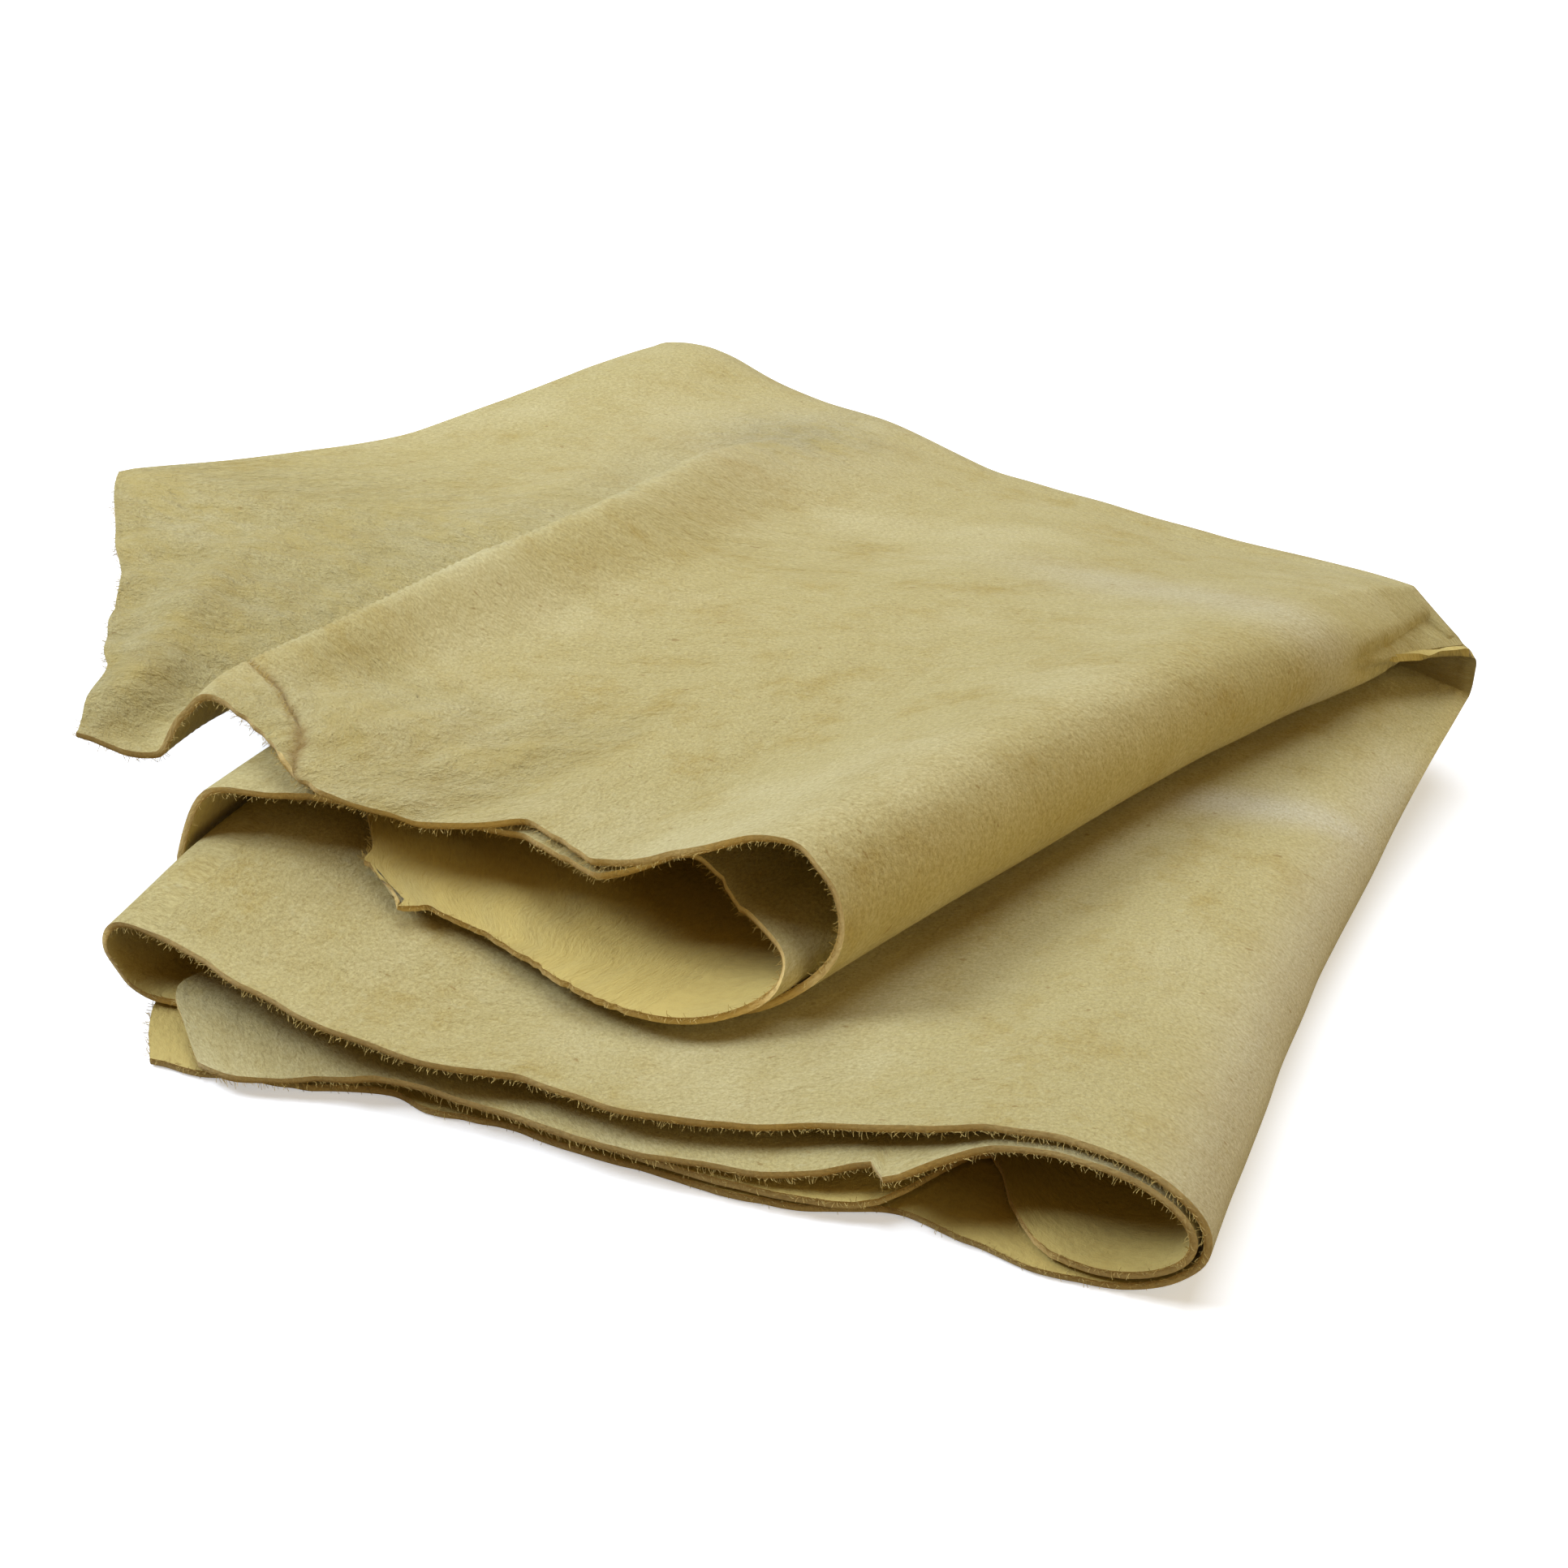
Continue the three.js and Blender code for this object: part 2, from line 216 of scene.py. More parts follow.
class Leg:
    """One half of the strip: w runs in millimetres from its roll to its loop, b from crease to front."""

    setback = (0, 0, 0)
    overhang = (0, 0, 0)
    sag = (0, 0, 0)
    inner_lean = 1
    outer_end_seed = 31
    inner_end_seed = 47

    def roll_line(self, b):
        b = np.asarray(b)[..., None]
        bow, front = np.array(self.roll_bow), np.array(self.roll_front)
        return (1 - b) ** 2 * TIP + 2 * b * (1 - b) * bow + b * b * front

    def loop_line(self, b):
        return CREASE_END + (np.array(self.loop_front) - CREASE_END) * np.asarray(b)[..., None]

    def width(self, b):
        return np.linalg.norm(self.loop_line(b) - self.roll_line(b), axis=-1)

    def plan(self, w, b):
        roll, loop = self.roll_line(b), self.loop_line(b)
        return roll + (loop - roll) * (w / self.width(b))[..., None]

    def locate(self, place):
        """The w and b of a plan position, found by stepping towards it."""
        w = np.full(place.shape[:-1], 60.0)
        b = np.full(place.shape[:-1], 0.5)
        step_across, step_along = 0.1, 0.001
        for _ in range(12):
            here = self.plan(w, b)
            across = (self.plan(w + step_across, b) - here) / step_across
            along = (self.plan(w, b + step_along) - here) / step_along
            miss = place - here
            area = across[..., 0] * along[..., 1] - across[..., 1] * along[..., 0]
            w = w + (miss[..., 0] * along[..., 1] - miss[..., 1] * along[..., 0]) / area
            b = b + (across[..., 0] * miss[..., 1] - across[..., 1] * miss[..., 0]) / area
        return w, b

    def turn(self, start_layer, end_layer, shoulder, apex, t, b, lean=1, pinch=0):
        """A turn from one layer to another round an apex; where pinched, two flat sides meet in an edge."""
        start = self.height(start_layer, shoulder, b)
        end = self.height(end_layer, shoulder, b)
        round_way, round_rise = np.sin(np.pi * t**lean), (1 - np.cos(np.pi * t)) / 2
        flat_way = 1 - np.abs(2 * t - 1)
        flat_rise = np.where(t < 0.5, 2 * t * PINCH_LEVEL, mix(PINCH_LEVEL, 1, 2 * t - 1))
        w = shoulder + (apex - shoulder) * mix(round_way, flat_way, pinch)
        return w, mix(start, end, mix(round_rise, flat_rise, pinch))

    def stretch(self, name, t, b):
        """Distance from the roll line and height of a stretch of the hide."""
        width = self.width(b)
        back = along_leg(self.setback, b)
        shoulder = self.roll_reach + back
        pinch = 1 - smooth(b / PINCH_ALONG)
        if name == "outer":
            end = through(self.outer_end, b) + ragged(b * LEG_LENGTH, self.outer_end_seed)
            w = mix(end, self.roll_reach, t)
            return w, self.height("outer", w, b)
        if name == "outer_roll":
            return self.turn("outer", "facing", self.roll_reach + 0 * b, 0 * b, t, b, pinch=pinch)
        if name == "facing":
            w = mix(self.roll_reach, width - self.loop_reach, t)
            return w, self.height("facing", w, b)
        if name == "left_loop":
            apex = width + along_leg(self.overhang, b)
            w, z = self.turn("facing", "third", width - self.loop_reach, apex, t, b, LOOP_LEAN)
            low = smooth((t - 0.1) / 0.22) * (1 - smooth((t - 0.36) / 0.45))
            return w, z - along_leg(self.sag, b) * low
        if name == "third":
            w = mix(width - self.loop_reach, shoulder, t)
            return w, self.height("third", w, b)
        if name == "inner_roll":
            lean = mix(1, self.inner_lean, smooth((b - 0.4) / 0.4))
            return self.turn("third", "inner", shoulder, back, t, b, lean, pinch)
        end = through(self.inner_end, b) + ragged(b * LEG_LENGTH, self.inner_end_seed)
        w = mix(shoulder, end, t)
        return w, self.height("inner", w, b)

    def cut_share(self, name, t, along):
        """How far along the leg the cut front edge lies, as a share of the leg."""
        start, end = TURNS.get(name, (name, name))
        length = np.linalg.norm(TIP - np.array(self.roll_front))
        b = np.ones_like(t)
        for _ in range(4):
            w, _ = self.stretch(name, t, b)
            share = w / self.width(1.0)
            part = smooth(2 * t) if name == "left_loop" else smooth(t)
            b = 1 + mix(through(self.front[start], share), through(self.front[end], share), part) / length
        return b + ragged(along, self.seed) / length

    def surface(self, v):
        """Middle surface of the whole leg with its marks: rows along v, columns across."""
        rows = []
        for name, t, along in columns():
            b = v[:, None] * self.cut_share(name, t, along)[None, :]
            w, z = self.stretch(name, np.broadcast_to(t, b.shape), b)
            marks = self.marks(name, w, b)
            rows.append(np.concatenate([self.plan(w, b), z[..., None], marks], -1))
        return np.concatenate(rows, axis=1)

    def marks(self, name, w, b):
        """How pale each place is from bleached bands and a painted highlight, how scarred and how creased,
        from 0 to 1.
        """
        return np.zeros((*w.shape, 3))


class LowerLeg(Leg):
    roll_bow = (80.5, -56.6)
    roll_front = (54.5, -125.6)
    loop_front = (-101.2, -59.6)
    roll_reach = 13
    loop_reach = 9
    setback = (LAYER_PITCH,) * 3
    seed = 3
    top_at_roll = (16.5, 15, 18.5)
    top_at_middle = (14.5, 10.5, 9)
    top_at_loop = [(0, 16), (0.4, 18.5), (0.65, 20.5), (0.8, 21.5), (0.9, 19.3), (1, 14)]
    outer_end = [(0, 178), (0.5, 166), (1, 162), (1.07, 155)]
    inner_end = [(0, 118), (0.5, 138), (0.93, 152), (0.99, 157), (1.012, 156), (1.035, 152), (1.09, 142.5)]
    front = {
        "outer": [(0, 0), (0.07, 1.9), (0.13, 2.9), (0.19, 1), (0.25, -0.6), (0.33, 3.8), (0.5, 4.8),
                  (0.58, 3.9), (0.66, 5.2), (0.7, 4.3), (0.77, 6.8), (0.92, 10.2), (1, 8)],
        "facing": [(0, 0), (0.08, -2.3), (0.18, -4.7), (0.24, -3.6), (0.32, -2.6), (0.39, 1), (0.48, 3.7),
                   (0.54, 3.1), (0.58, 3.1), (0.64, 5.2), (0.72, 5.9), (0.84, 4.2), (0.92, 1), (1, -1)],
        "third": [(0, 1), (0.12, 1), (0.16, -5), (0.2, -14), (0.26, 0), (0.31, 3.6), (0.42, 5), (0.5, 4.5),
                  (0.8, 0), (1, 1)],
        "inner": [(0, -0.5), (0.09, -2), (0.18, -3.6), (0.22, -0.7), (0.255, 3.1), (0.27, -0.1), (0.32, 2.9),
                  (0.42, 5.3), (0.51, 6.3), (0.6, 5.4), (0.7, 5.3), (0.74, 6.9), (0.79, 9.3), (0.83, 10.6),
                  (0.9, 9)],
    }

    def height(self, layer, w, b):
        if layer == "outer":
            return HALF_THICKNESS + TIP_LIFT * tip_share(w, b)
        if layer == "third":
            return self.height("outer", w, b) + LAYER_PITCH
        if layer == "facing":
            span = self.width(b) - self.roll_reach - self.loop_reach
            return height_across(
                along_leg(self.top_at_roll, b),
                along_leg(self.top_at_middle, b),
                through(self.top_at_loop, b),
                (w - self.roll_reach) / span,
                b,
            )
        sag = smooth(b / 0.4) * smooth((w - 18) / 75)
        lying = mix(self.height("facing", w, b) - LAYER_PITCH, self.height("third", w, b) + LAYER_PITCH, sag)
        corner = smooth((b - 1.02) / 0.05) * smooth((w - 118) / 16)
        return lying - LAYER_PITCH * corner

    def marks(self, name, w, b):
        marks = super().marks(name, w, b)
        if name in ("facing", "outer_roll"):
            # rim is a painted highlight, pale along the outside of the roll; band is a bleached streak across
            # the facing layer
            rim = 0.75 * np.exp(-((w / 7) ** 2)) * smooth((b - 0.1) / 0.15)
            band = 0.9 * np.exp(-(((b - 0.33 - 0.0012 * w) / 0.03) ** 2)) * smooth((44 - w) / 20)
            marks[..., 0] = np.maximum(rim, band)
        return marks


class UpperLeg(Leg):
    roll_bow = (90.5, 4.4)
    roll_front = (10, -74.6)
    loop_front = (-91.5, -45.6)
    roll_reach = 13
    loop_reach = 11
    setback = (2.5, 3, 5)
    inner_lean = 1.3
    overhang = (0, 2, 4)
    sag = (0, 4, 14)
    seed = 13
    length = 134.7
    trough_depth = 3.5
    trough_width = 18
    trough_run_out = 40
    crest_rise = (3.8, 3.6)
    valley_depth = (4.4, 5.4)
    second_rise = 2.6
    corner_rise = 3.4
    third_sag_at_roll = 12
    third_sag_at_loop = 2.5
    top_at_roll = (32.3, 35, 35)
    top_at_middle = (29, 32, 27)
    top_at_loop = (33, 37.5, 33)
    flap_drop = (-1.5, 4, 5)
    crest = [(0, 128), (0.2, 126), (0.33, 122.2), (0.46, 120.2), (0.62, 120.2), (0.74, 120), (0.85, 121.5),
             (0.92, 115.5)]
    second_wave = [(0.5, 178), (0.65, 163), (0.75, 152.5), (0.84, 142), (0.92, 138)]
    scar = [(0.829, 125), (0.846, 119), (0.878, 110), (0.911, 102), (0.934, 97), (0.959, 92.5), (0.991, 87.5)]
    outer_end = [(0, 178), (0.22, 185), (0.285, 188.5), (0.375, 204), (0.43, 218.5), (0.44, 218.5),
                 (0.545, 199), (0.63, 183), (0.78, 159), (0.81, 153), (0.86, 146.5), (0.92, 138)]
    inner_end = [(0, 118), (0.5, 108), (0.895, 95), (0.95, 83.6), (0.985, 76.4), (1.005, 74), (1.03, 66)]
    front = {
        "outer": [(0, 0), (0.15, -1.3), (0.21, 0.5), (0.36, -0.7), (0.45, -2.7), (0.53, -5.3), (0.57, -3.5),
                  (0.62, -1.6), (0.75, -0.3), (0.85, -2.3), (0.92, -5.8), (1.03, -10.2), (1.1, -11.6),
                  (1.3, -11)],
        "facing": [(0, 3), (0.1, 5), (0.35, -8), (0.55, -18), (0.8, -21), (1, -18)],
        "third": [(0, -2), (0.155, -2), (0.25, -5), (0.3, -5.6), (0.325, -1.5), (0.35, -0.3), (0.38, -0.6),
                  (0.44, -2.2), (0.57, -5.1), (0.8, -2), (1, -1)],
        "inner": [(0, 9), (0.1, 10.1), (0.23, 9.4), (0.3, 8.1), (0.46, 4.8), (0.57, 3.8), (0.6, 5), (0.65, 3),
                  (0.7, 0.5)],
    }

    def height(self, layer, w, b):
        if layer == "facing":
            under, share = LOWER.locate(self.plan(w, b))
            hollow = CREASE_HOLLOW * (1 - smooth(b / 0.32)) * (1 - 0.25 * smooth(1 - w / 20))
            return LOWER.height("facing", under, np.maximum(share, 0)) + LAYER_PITCH + hollow
        if layer == "inner":
            return self.height("facing", w, b) + LAYER_PITCH
        width = self.width(b)
        span = width - self.roll_reach - self.loop_reach
        even = height_across(
            along_leg(self.top_at_roll, b),
            along_leg(self.top_at_middle, b),
            along_leg(self.top_at_loop, b),
            (w - self.roll_reach) / span,
            b,
        )
        drop = along_leg(self.flap_drop, b) * smooth((w - width + 4) / 30)
        z = even - drop - TIP_DROP * tip_share(w, b) - self.trough(w, b)
        if layer == "third":
            at_roll = self.third_sag_at_roll * smooth((36 - w) / 20) * smooth((b - 0.5) / 0.4)
            at_loop = self.third_sag_at_loop * smooth((w - width + 35) / 25) * smooth((b - 0.6) / 0.3)
            return z - LAYER_PITCH - at_roll - at_loop
        return z + self.flap_waves(w, b) + self.flap_marks(w, b)

    def trough(self, w, b):
        """A shallow trough beside the crest, on the side of the roll."""
        before = through(self.crest, b) - w
        along = smooth((b - 0.08) / 0.22) * (1 - smooth((b - 0.8) / 0.1))
        fall = smooth(before / self.trough_width)
        rise = smooth((before - self.trough_width) / self.trough_run_out)
        return self.trough_depth * along * fall * (1 - rise)

    def flap_waves(self, w, b):
        """The loose flap falls off the crest into a valley and rises again in a second wave."""
        past = w - through(self.crest, b)
        edge = smooth((b - 0.84) / 0.08)
        grown = smooth((b - 0.08) / 0.22)
        flank = np.where(past > 0, (past / 3.5) ** 2, np.abs(past / 9) ** 1.5)
        crest = mix(*self.crest_rise, edge) * np.exp(-flank) * grown
        fall = smooth((past - mix(0.5, 4.5, edge)) / mix(6, 5, edge))
        valley = -mix(*self.valley_depth, edge) * grown * fall * (1 - 0.75 * smooth((past - 10) / 15))
        from_second = (w - through(self.second_wave, b)) / 5.5
        wave = self.second_rise * np.exp(-(from_second**2)) * smooth((b - 0.5) / 0.15)
        at_back = 1 - smooth(b / 0.25)
        corner = self.corner_rise * np.exp(-(((w - 171) / 13) ** 2))
        return crest + valley + wave * (1 - edge) + corner * at_back

    def marks(self, name, w, b):
        marks = super().marks(name, w, b)
        if name in ("outer", "outer_roll"):
            band = 0.5 * np.exp(-(((b - 0.36 + 0.0013 * w) / 0.05) ** 2)) * smooth((80 - w) / 40)
            corner = 0.35 * np.exp(-((np.hypot(w - 128, b * self.length - 20) / 22) ** 2))
            marks[..., 0] = np.maximum(band, corner)
            side = self.scar_side(w, b)
            marks[..., 1] = np.exp(-((side / 0.55) ** 2))
            loose = 0.85 * smooth((w - 122) / 25) * smooth((b - 0.25) / 0.25)
            patch = 0.5 * smooth((w - 55) / 15) * smooth((120 - w) / 8) * smooth((b - 0.72) / 0.12)
            corner = np.exp(-((np.hypot(w - 128, b * self.length - 14) / 14) ** 2))
            marks[..., 2] = np.maximum(np.maximum(loose, patch), corner)
        return marks

    def scar_side(self, w, b):
        """Distance from the flap's scar towards the loop, in millimetres; far off where there is none."""
        wander = 0.5 * noise(w / 2.6, b * 52, 73)
        return np.where(b > 0.815, (w - through(self.scar, b)) / 2 + wander, 50)

    def flap_marks(self, w, b):
        """Fine wrinkles at the loose end, a crinkled patch and the scar with its raised lip."""
        down = b * self.length
        creased = smooth((w - 140) / 15) * smooth((b - 0.42) / 0.1) * smooth((0.82 - b) / 0.1)
        crinkled = smooth((w - 60) / 8) * smooth((112 - w) / 10) * smooth((b - 0.8) / 0.06)
        side = self.scar_side(w, b)
        groove = -0.7 * np.exp(-((side / 0.6) ** 2))
        lip = (0.15 + 0.35 * noise(w / 1.3, down / 1.3, 71)) * np.exp(-(((side - 1.5) / 1.1) ** 2))
        return (
            0.9 * creased * noise(w / 9, down / 4.2, 61)
            + 0.55 * crinkled * noise(w / 4.5, down / 5.5, 63)
            + groove
            + lip
        )


LOWER = LowerLeg()
UPPER = UpperLeg()


@functools.lru_cache(maxsize=1)
def columns():
    """Each stretch with its places t from 0 to 1 and their distance along the hide.

    An end that two stretches share belongs to the first of them.
    """
    found = []
    start = 0.0
    for name, (count, length) in STRETCHES.items():
        t = np.linspace(0, 1, count + 1)[0 if not found else 1:]
        found.append((name, t, start + t * length))
        start += length
    return found


@functools.lru_cache(maxsize=1)
def hide_grid():
    """The whole hide as one grid: middle points, normals to the grain side, flat coordinates and marks."""
    v = 1 - (1 - np.linspace(0, 1, LEG_ROWS)) ** ROW_CROWDING
    lower, upper = LOWER.surface(v[::-1]), UPPER.surface(v)
    below, above = lower[-1], upper[0]
    angle = np.pi * np.linspace(0, 1, BEND_ROWS + 2)[1:-1, None]
    bend = below + (above - below) * ((1 - np.cos(angle)) / 2)[..., None]
    from_tip = np.linalg.norm(below[:, :2] - TIP, axis=-1)
    reach = mix(TIP_BEND, 1, smooth(from_tip / TIP_BEND_REACH)) * (above - below)[..., 2] / 2
    bend[..., :2] += BACK_WAY * (reach * np.sin(angle))[..., None]
    whole = np.concatenate([lower, bend, upper], axis=0)
    points, marks = whole[..., :3], whole[..., 3:]
    along = np.concatenate([place for _, _, place in columns()])
    down = np.concatenate([
        -BEND_LENGTH / 2 - v[::-1] * LEG_LENGTH,
        np.linspace(-0.5, 0.5, BEND_ROWS + 2)[1:-1] * BEND_LENGTH,
        BEND_LENGTH / 2 + v * LEG_LENGTH,
    ])
    flat = np.stack(np.meshgrid(along, down), -1)
    points = points + normals(points) * relief(points, flat)[..., None]
    return points, normals(points), flat, marks


def normals(points):
    way = np.cross(np.gradient(points, axis=1), np.gradient(points, axis=0))
    return way / np.maximum(np.linalg.norm(way, axis=-1, keepdims=True), 1e-9)


def relief(points, flat):
    """Waves and pleats along the leather's normal, in millimetres; the side that lies down stays even."""
    s, r = flat[..., 0], flat[..., 1]
    waves = 0.35 * noise(s / 34, r / 34, 5) + 0.14 * noise(s / 11, r / 11, 6)
    lying = smooth((150 - s) / 10) * smooth((-r - 20) / 10)
    outside = smooth((205 - s) / 10) * smooth((points[..., 2] - 18) / 3)
    pleats = sum(depth * pleat(points, start, end) for start, end, depth in TIP_PLEATS)
    return waves * (1 - lying) + pleats * outside


def pleat(points, start, end):
    """A step along a line in the plan, from 0 to 1: sharp on its left, running out to its right."""
    start, end = np.array(start), np.array(end)
    way = (end - start) / np.linalg.norm(end - start)
    from_start = points[..., :2] - start
    share = from_start @ way / np.linalg.norm(end - start)
    side = from_start @ np.array([-way[1], way[0]])
    along = smooth((share + 0.05) / 0.25) * smooth((1.3 - share) / 0.3)
    return along * smooth(side + 0.5) * smooth((7 - side) / 6)


ROWS = {
    "lower": (0, LEG_ROWS),
    "back": (LEG_ROWS - 1, LEG_ROWS + BEND_ROWS + 1),
    "upper": (LEG_ROWS + BEND_ROWS, 2 * LEG_ROWS + BEND_ROWS),
}


def leather_mesh(name, part, thickness):
    """A closed sheet of leather on a band of the grid: suede outside, grain inside, cut edges round it."""
    first, last = ROWS[part]
    points, across, flat, marks = (layer[first:last] for layer in hide_grid())
    rows, cols = points.shape[:2]
    wander = noise(flat[..., 0] / 9, flat[..., 1] / 9, 9)
    half = MM_PER_M * thickness / 2 * (1 + THICKNESS_WANDER * wander)[..., None]
    suede = points - across * half
    grain = points + across * half
    index = np.arange(rows * cols).reshape(rows, cols)
    ring = np.concatenate([index[0, :-1], index[:-1, -1], index[-1, :0:-1], index[:0:-1, 0]])
    outward = np.zeros_like(points)
    if part == "lower":
        outward[0] = points[0] - points[1]
    if part == "upper":
        outward[-1] = points[-1] - points[-2]
    outward[:, 0] += points[:, 0] - points[:, 1]
    outward[:, -1] += points[:, -1] - points[:, -2]
    outward /= np.maximum(np.linalg.norm(outward, axis=-1, keepdims=True), 1e-9)
    middle = (points + outward * EDGE_BULGE).reshape(-1, 3)[ring]
    count, around = rows * cols, len(ring)
    verts = np.concatenate([suede.reshape(-1, 3), grain.reshape(-1, 3), middle])
    verts[:, 2] = np.maximum(verts[:, 2], 0)
    a, b, c, d = index[:-1, :-1], index[:-1, 1:], index[1:, 1:], index[1:, :-1]
    grain_faces = np.stack([a, b, c, d], -1).reshape(-1, 4) + count
    suede_faces = np.stack([a, d, c, b], -1).reshape(-1, 4)
    here = np.arange(around)
    after = (here + 1) % around
    upper_rim = np.stack([ring[after] + count, ring + count, here + 2 * count, after + 2 * count], -1)
    lower_rim = np.stack([after + 2 * count, here + 2 * count, ring, ring[after]], -1)
    faces = np.concatenate([suede_faces, grain_faces, upper_rim, lower_rim])
    mesh = bpy.data.meshes.new(name)
    mesh.from_pydata((verts / MM_PER_M).tolist(), [], faces.tolist())
    for finish in (suede_finish(), grain_finish(), edge_finish()):
        mesh.materials.append(finish)
    slots = np.repeat([0, 1, 2], [len(suede_faces), len(grain_faces), 2 * around])
    mesh.polygons.foreach_set("material_index", slots.astype(np.int32))
    mesh.polygons.foreach_set("use_smooth", np.ones(len(faces), bool))
    sheet = np.concatenate([flat.reshape(-1, 2), flat.reshape(-1, 2), flat.reshape(-1, 2)[ring]]) / MM_PER_M
    side = np.repeat([0.0, 1.0, 0.5], [count, count, around])
    note_on_points(mesh, "hide_place", np.column_stack([sheet, side]))
    # The first of these marks holds bleached bands and a painted highlight on the lower roll
    wear_and_highlight = np.concatenate([marks.reshape(-1, 3), 0 * marks.reshape(-1, 3), marks.reshape(-1, 3)[ring]])
    note_on_points(mesh, "hide_wear", wear_and_highlight)
    mesh.update()
    mesh.set_sharp_from_angle(angle=SHARP_ANGLE)
    return mesh


def note_on_points(mesh, name, vectors):
    """Keeps a vector for every point of a mesh under a name."""
    layer = mesh.attributes.new(name, "FLOAT_VECTOR", "POINT")
    layer.data.foreach_set("vector", vectors.astype(np.float32).ravel())


def share_out_turn(piece):
    """Writes the blend's stored shares again, by each point's place along its own bend, not by its height."""
    turn = piece.data.attributes.get("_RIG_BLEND")
    if turn is None:
        return
    place = np.empty(len(piece.data.vertices) * 3, np.float32)
    piece.data.attributes["hide_place"].data.foreach_get("vector", place)
    share = smooth(place.reshape(-1, 3)[:, 1] * MM_PER_M / BEND_LENGTH + 0.5)
    turn.data.foreach_set("value", share.astype(np.float32))


def add_piece(name, mesh):
    piece = bpy.data.objects.new(name, mesh)
    bpy.context.scene.collection.objects.link(piece)
    return piece


def add_leather(part):
    """Makes one band of the hide as a piece of its own."""
    name = "hide_" + part
    return add_piece(name, leather_mesh(name, part, bpy.context.scene.chamois_hide.thickness))


class NodeDesk:
    """Lays the nodes of one material."""

    def __init__(self, name):
        self.material = bpy.data.materials.new(name)
        self.material.use_nodes = True
        self.tree = self.material.node_tree
        self.shader = self.tree.nodes["Principled BSDF"]
        self.left = -1800

    def add(self, kind, settings=(), **inputs):
        node = self.tree.nodes.new(kind)
        node.location = (self.left, 0)
        self.left += 120
        for key, value in dict(settings).items():
            setattr(node, key, value)
        for key, value in inputs.items():
            self.feed(node.inputs[key.replace("_", " ")], value)
        return node

    def feed(self, socket, value):
        if isinstance(value, bpy.types.NodeSocket):
            self.tree.links.new(value, socket)
        else:
            socket.default_value = value

    def coat(self, **inputs):
        """Sets the inputs of the material's shader and hands the material over."""
        for key, value in inputs.items():
            self.feed(self.shader.inputs[key.replace("_", " ")], value)
        return self.material

    def parts(self, attribute):
        """The three numbers of a point attribute, each as an output."""
        source = self.add("ShaderNodeAttribute", {"attribute_name": attribute})
        return self.add("ShaderNodeSeparateXYZ", Vector=source.outputs["Vector"]).outputs

    def noise(self, scale, detail, rough):
        """Noise on the hide's own flat coordinates in metres, times a scale along and across."""
        source = self.add("ShaderNodeAttribute", {"attribute_name": "hide_place"})
        place = self.add("ShaderNodeMapping", Vector=source.outputs["Vector"], Scale=scale).outputs[0]
        node = self.add("ShaderNodeTexNoise", Vector=place, Scale=1.0, Detail=detail, Roughness=rough)
        return node.outputs["Fac"]

    def math(self, operation, first, second):
        node = self.add("ShaderNodeMath", {"operation": operation})
        self.feed(node.inputs[0], first)
        self.feed(node.inputs[1], second)
        return node.outputs[0]

    def ramp(self, value, low, high):
        soft = {"interpolation_type": "SMOOTHSTEP"}
        return self.add("ShaderNodeMapRange", soft, Value=value, From_Min=low, From_Max=high).outputs[0]

    def blend(self, share, first, second, how="MIX"):
        node = self.add("ShaderNodeMix", {"data_type": "RGBA", "blend_type": how}, Factor=share)
        self.feed(node.inputs[MIX_FIRST], first)
        self.feed(node.inputs[MIX_SECOND], second)
        return node.outputs[MIX_RESULT]

    def stain(self, share, colour, strength, second):
        """A colour that takes on a second one where the share says, by a strength at most."""
        return self.blend(share, colour, self.blend(strength, colour, second))

    def bump(self, height, distance, strength, under=None):
        node = self.add("ShaderNodeBump", Height=height, Distance=distance, Strength=strength)
        if under is not None:
            self.feed(node.inputs["Normal"], under)
        return node.outputs[0]


def tint(name):
    """A colour of the finish settings, as a node's socket takes it."""
    return (*getattr(bpy.context.scene.chamois_finish, name), 1)


